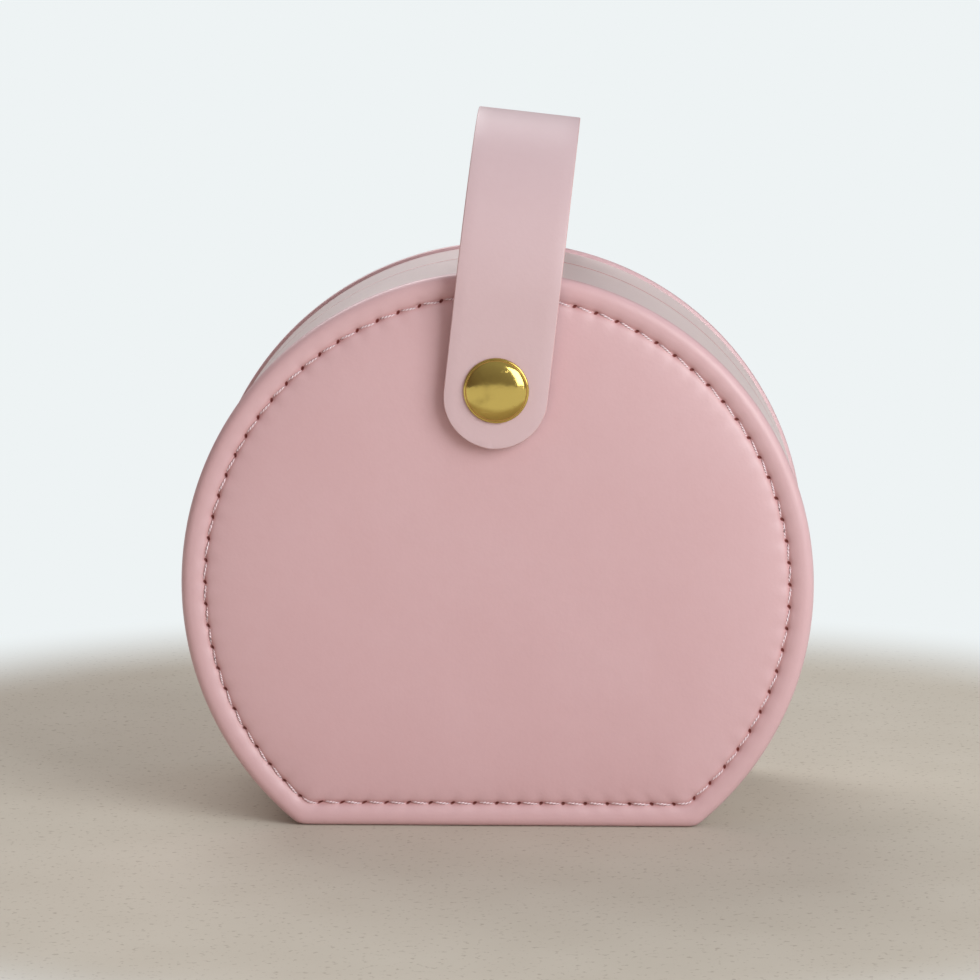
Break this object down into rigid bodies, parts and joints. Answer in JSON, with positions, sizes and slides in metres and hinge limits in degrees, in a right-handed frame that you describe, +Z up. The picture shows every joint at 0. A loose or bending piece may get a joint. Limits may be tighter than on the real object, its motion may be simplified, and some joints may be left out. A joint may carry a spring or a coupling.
{
  "type": "jewellery case",
  "caption": "Round padded leather travel case for jewellery with a flat base, a strap handle with a snap, a mirror, ring rolls and velvet compartments.",
  "frame": {"origin": "middle of the footprint on the surface that the case stands on, halfway between the snap cap and the rear rivet", "axes": "+Z up, the padded front with the snap faces -Y, +X to the right as seen from the front"},
  "size_m": [0.1098, 0.0642, 0.1241],
  "materials": {
    "leather_panel": "fine grained, slightly satin",
    "leather_band": "fine grained, satin",
    "leather_strap": "fine grained, satin",
    "velvet": "short pile",
    "board": "matte",
    "foam": "matte",
    "gold": "polished, lightly scratched",
    "mirror": "polished"
  },
  "bodies": {
    "rear_half": {"rear_shell": "board", "rear_band": "leather_band", "rear_pad": "foam", "rear_cover": "leather_panel", "rear_lining": "velvet", "mirror_frame": "velvet", "mirror_glass": "mirror", "hinge_strip": "leather_band", "hinge_lining": "velvet", "strap_anchor": "leather_strap", "rivet_cap": "gold", "rivet_burr": "gold"},
    "front_half": {"front_shell": "board", "front_band": "leather_band", "front_pad": "foam", "front_cover": "leather_panel", "front_lining": "velvet", "ring_roll_1": "velvet", "ring_roll_2": "velvet", "ring_roll_3": "velvet", "ring_roll_4": "velvet", "divider_cross": "velvet", "divider_left": "velvet", "divider_right": "velvet", "divider_low": "velvet", "snap_stud": "gold", "stud_burr": "gold"},
    "strap_back": {"strap_rear": "leather_strap"},
    "strap_flap": {"strap_front": "leather_strap", "snap_cap": "gold", "snap_socket": "gold"}
  },
  "joints": [
    {"name": "lid_hinge", "type": "hinge", "parent": "rear_half", "child": "front_half", "pos_m": [0, 0.0069, 0], "axis": [1, 0, 0], "range_deg": [0, 170], "deforming": ["hinge_strip", "hinge_lining", "strap_front"]},
    {"name": "strap_swing", "type": "hinge", "parent": "rear_half", "child": "strap_back", "pos_m": [0.00085, 0.03055, 0.0852], "axis": [-0.9938, 0, 0.1115], "range_deg": [0, 150]},
    {"name": "strap_unfold", "type": "hinge", "parent": "strap_back", "child": "strap_flap", "pos_m": [0.00511, 0.0001, 0.12316], "axis": [-0.9938, 0, 0.1115], "range_deg": [0, 105.1]}
  ],
  "couplings": [
    {"joint": "strap_unfold", "follows": "strap_swing", "ratio": 0.7}
  ]
}
